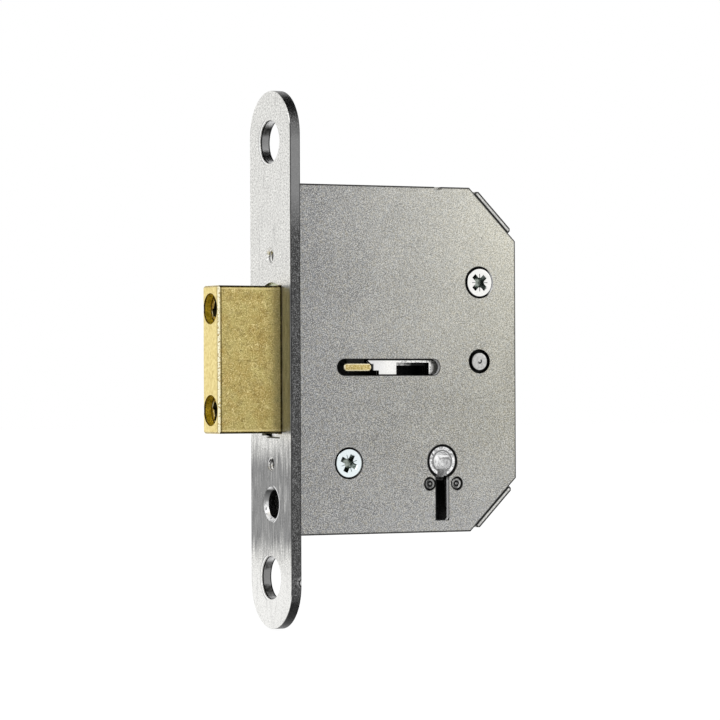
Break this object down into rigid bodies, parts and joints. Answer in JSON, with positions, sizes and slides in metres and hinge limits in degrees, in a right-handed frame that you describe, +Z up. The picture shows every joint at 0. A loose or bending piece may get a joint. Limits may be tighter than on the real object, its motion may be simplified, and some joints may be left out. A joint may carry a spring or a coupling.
{
  "type": "mortise deadlock",
  "caption": "Mortise deadlock with a round-ended forend, a brass bolt thrown, a lever pack, a keyhole barrel and a screwed cap.",
  "frame": {"origin": "centre of the forend's front face, midway between its two fixing holes, level with the bolt's centre line", "axes": "+X into the door from the forend, +Z up along the forend, -Y towards the removable cap"},
  "size_m": [0.0822, 0.022, 0.1316],
  "materials": {
    "plated_steel": "satin plated steel",
    "zinc_sheet": "galvanised sheet with a fine mottled grain",
    "hard_steel": "hardened steel, dull",
    "bright_zinc": "bright zinc",
    "pin_steel": "turned steel",
    "bolt_brass": "satin brass, worn",
    "tail_steel": "dark oiled steel",
    "lug_brass": "brass",
    "screw_brass": "brass",
    "barrel_steel": "turned steel with a mottled plating",
    "lever_steel": "bright pressed steel",
    "spring_steel": "tempered spring steel"
  },
  "bodies": {
    "lock_case": {"forend": "plated_steel", "case_tray": "zinc_sheet", "cap": "zinc_sheet", "drill_plate": "hard_steel", "ward_plate": "hard_steel", "ward_rivets": "hard_steel", "cap_screw_upper": "bright_zinc", "cap_screw_lower": "bright_zinc", "screw_pillar_upper": "pin_steel", "screw_pillar_lower": "pin_steel", "lever_post": "pin_steel", "spring_post": "pin_steel"},
    "bolt": {"bolt_head": "bolt_brass", "bolt_tail": "tail_steel", "tail_rivet": "pin_steel", "bolt_stump": "tail_steel", "stump_lug": "lug_brass", "bolt_end_screws": "screw_brass"},
    "lever_1_body": {"lever_1": "lever_steel", "lever_spring_1": "spring_steel"},
    "lever_2_body": {"lever_2": "lever_steel", "lever_spring_2": "spring_steel"},
    "lever_3_body": {"lever_3": "lever_steel", "lever_spring_3": "spring_steel"},
    "lever_4_body": {"lever_4": "lever_steel", "lever_spring_4": "spring_steel"},
    "lever_5_body": {"lever_5": "lever_steel", "lever_spring_5": "spring_steel"},
    "barrel": {"curtain_barrel": "barrel_steel"}
  },
  "joints": [
    {"name": "bolt_slide", "type": "slide", "parent": "lock_case", "child": "bolt", "axis": [1, 0, 0], "range_m": [0, 0.017]},
    {"name": "lever_1_pivot", "type": "hinge", "parent": "lock_case", "child": "lever_1_body", "pos_m": [0.05475, 0, -0.0005], "axis": [0, 1, 0], "range_deg": [-5.5, 1.5]},
    {"name": "lever_2_pivot", "type": "hinge", "parent": "lock_case", "child": "lever_2_body", "pos_m": [0.05475, 0, -0.0005], "axis": [0, 1, 0], "range_deg": [-5.5, 1.5]},
    {"name": "lever_3_pivot", "type": "hinge", "parent": "lock_case", "child": "lever_3_body", "pos_m": [0.05475, 0, -0.0005], "axis": [0, 1, 0], "range_deg": [-5.5, 1.5]},
    {"name": "lever_4_pivot", "type": "hinge", "parent": "lock_case", "child": "lever_4_body", "pos_m": [0.05475, 0, -0.0005], "axis": [0, 1, 0], "range_deg": [-5.5, 1.5]},
    {"name": "lever_5_pivot", "type": "hinge", "parent": "lock_case", "child": "lever_5_body", "pos_m": [0.05475, 0, -0.0005], "axis": [0, 1, 0], "range_deg": [-5.5, 1.5]},
    {"name": "barrel_turn", "type": "hinge", "parent": "lock_case", "child": "barrel", "pos_m": [0.044, 0, -0.0253], "axis": [0, 1, 0], "continuous": true}
  ]
}
